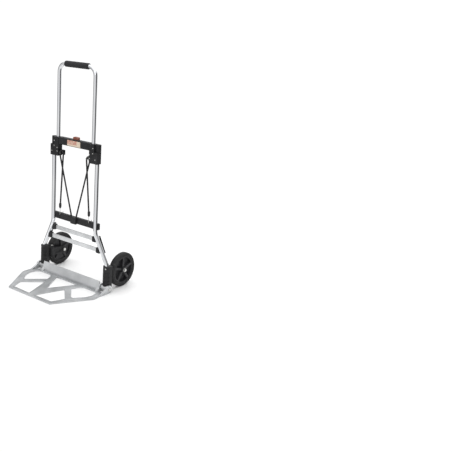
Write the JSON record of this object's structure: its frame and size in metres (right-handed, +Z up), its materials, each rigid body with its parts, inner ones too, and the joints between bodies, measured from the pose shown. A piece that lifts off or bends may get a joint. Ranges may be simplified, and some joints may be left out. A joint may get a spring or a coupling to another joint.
{
  "type": "hand truck",
  "caption": "Folding hand truck with a telescopic loop handle, elastic load cords, fold-in wheels and an openwork toe plate.",
  "frame": {"origin": "on the floor under the middle of the truck's bounding box", "axes": "+Z up, +Y towards the wheels at the back, -Y towards the toe plate's front edge, +X to the right seen from the toe plate's side"},
  "size_m": [0.5108, 0.5096, 1.1],
  "materials": {
    "handle_chrome": "polished",
    "frame_chrome": "polished",
    "grip_foam": "soft foam",
    "black_plastic": "fine texture",
    "peg_steel": "blackened",
    "bolt_steel": "zinc plated",
    "label": "printed patch",
    "button_red": "semi gloss",
    "cord_elastic": "braided sheath",
    "brace_aluminium": "satin",
    "foot_aluminium": "satin",
    "plate_aluminium": "satin cast",
    "hub_plastic": "moulded",
    "tyre_rubber": "matt"
  },
  "bodies": {
    "frame": {"bar_screws": "bolt_steel", "block_bolts": "bolt_steel", "brace_bar_lower": "brace_aluminium", "brace_bar_upper": "brace_aluminium", "brace_fitting_lower_l": "black_plastic", "brace_fitting_lower_r": "black_plastic", "brace_fitting_upper_l": "black_plastic", "brace_fitting_upper_r": "black_plastic", "button_spring": "bolt_steel", "carrier_pin_l": "bolt_steel", "carrier_pin_r": "bolt_steel", "cord_clip": "black_plastic", "cord_ferrule_l": "black_plastic", "cord_ferrule_r": "black_plastic", "cord_hook_l": "bolt_steel", "cord_hook_r": "bolt_steel", "cord_peg_l": "peg_steel", "cord_peg_r": "peg_steel", "elastic_cord_l": "cord_elastic", "elastic_cord_r": "cord_elastic", "frame_tube_l": "frame_chrome", "frame_tube_r": "frame_chrome", "guide_block_l": "black_plastic", "guide_block_r": "black_plastic", "housing_screws": "bolt_steel", "label_plate": "label", "leg_foot_l": "foot_aluminium", "leg_foot_r": "foot_aluminium", "leg_strip_l": "black_plastic", "leg_strip_r": "black_plastic", "lower_crossbar": "black_plastic", "toe_hinge_pin_l": "bolt_steel", "toe_hinge_pin_r": "bolt_steel", "upper_crossbar": "black_plastic", "wheel_housing_l": "black_plastic", "wheel_housing_r": "black_plastic"},
    "handle": {"handle_tube": "handle_chrome", "handle_grip": "grip_foam", "handle_plug_l": "black_plastic", "handle_plug_r": "black_plastic"},
    "button": {"release_button": "button_red"},
    "toe": {"toe_plate": "plate_aluminium"},
    "carrier_l": {"wheel_carrier_l": "black_plastic", "axle_bolt_l": "bolt_steel"},
    "wheel_l": {"wheel_hub_l": "hub_plastic", "tyre_l": "tyre_rubber"},
    "carrier_r": {"wheel_carrier_r": "black_plastic", "axle_bolt_r": "bolt_steel"},
    "wheel_r": {"wheel_hub_r": "hub_plastic", "tyre_r": "tyre_rubber"}
  },
  "joints": [
    {"name": "handle_slide", "type": "slide", "parent": "frame", "child": "handle", "axis": [0, 0, -1], "range_m": [0, 0.285]},
    {"name": "button_press", "type": "slide", "parent": "frame", "child": "button", "axis": [0, 0, -1], "range_m": [0, 0.005], "stiffness_N_per_m": 400, "springref_m": -0.006, "deforming": ["button_spring"]},
    {"name": "toe_fold", "type": "hinge", "parent": "frame", "child": "toe", "pos_m": [0, 0.04525, 0.02], "axis": [-1, 0, 0], "range_deg": [0, 90]},
    {"name": "carrier_fold_l", "type": "hinge", "parent": "frame", "child": "carrier_l", "pos_m": [-0.198, 0.08525, 0.0875], "axis": [0, 0, -1], "range_deg": [0, 90]},
    {"name": "carrier_fold_r", "type": "hinge", "parent": "frame", "child": "carrier_r", "pos_m": [0.198, 0.08525, 0.0875], "axis": [0, 0, 1], "range_deg": [0, 90]},
    {"name": "wheel_spin_l", "type": "hinge", "parent": "carrier_l", "child": "wheel_l", "pos_m": [-0.222, 0.16725, 0.0875], "axis": [1, 0, 0], "continuous": true},
    {"name": "wheel_spin_r", "type": "hinge", "parent": "carrier_r", "child": "wheel_r", "pos_m": [0.222, 0.16725, 0.0875], "axis": [1, 0, 0], "continuous": true}
  ],
  "couplings": [
    {"joint": "carrier_fold_l", "follows": "toe_fold", "ratio": 1},
    {"joint": "carrier_fold_r", "follows": "toe_fold", "ratio": 1}
  ]
}
